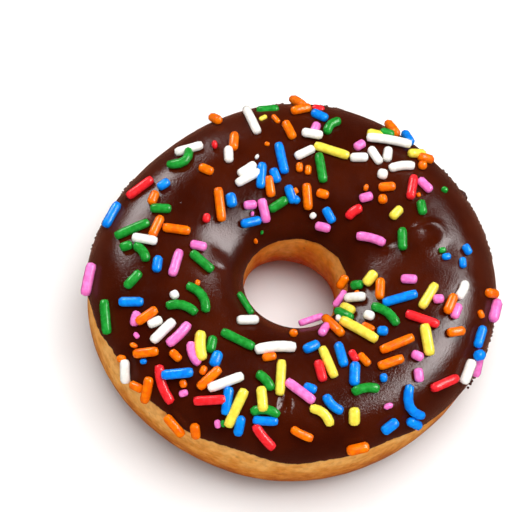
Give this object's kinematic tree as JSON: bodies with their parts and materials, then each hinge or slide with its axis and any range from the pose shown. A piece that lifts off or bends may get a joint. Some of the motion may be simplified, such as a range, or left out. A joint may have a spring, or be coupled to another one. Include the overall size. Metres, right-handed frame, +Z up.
{
  "type": "sprinkle frosted doughnut",
  "caption": "Fried ring doughnut standing flat, its top and sides dipped in dark chocolate icing and scattered with coloured sugar sprinkles.",
  "frame": {"origin": "on the surface the doughnut stands on, under the middle of its outline", "axes": "+Z up through the hole; -Y is the side that shows most bare crust"},
  "size_m": [0.0898, 0.0876, 0.0299],
  "materials": {
    "fried_crust": "soft fried crust, golden brown with a paler band round the middle",
    "chocolate_icing": "set chocolate icing, satin gloss",
    "sprinkle_red": "sugar shell, soft gloss",
    "sprinkle_orange": "sugar shell, soft gloss",
    "sprinkle_yellow": "sugar shell, soft gloss",
    "sprinkle_green": "sugar shell, soft gloss",
    "sprinkle_blue": "sugar shell, soft gloss",
    "sprinkle_pink": "sugar shell, soft gloss",
    "sprinkle_white": "sugar shell, soft gloss"
  },
  "bodies": {
    "root": {"dough_ring": "fried_crust", "chocolate_icing": "chocolate_icing"}
  },
  "joints": []
}
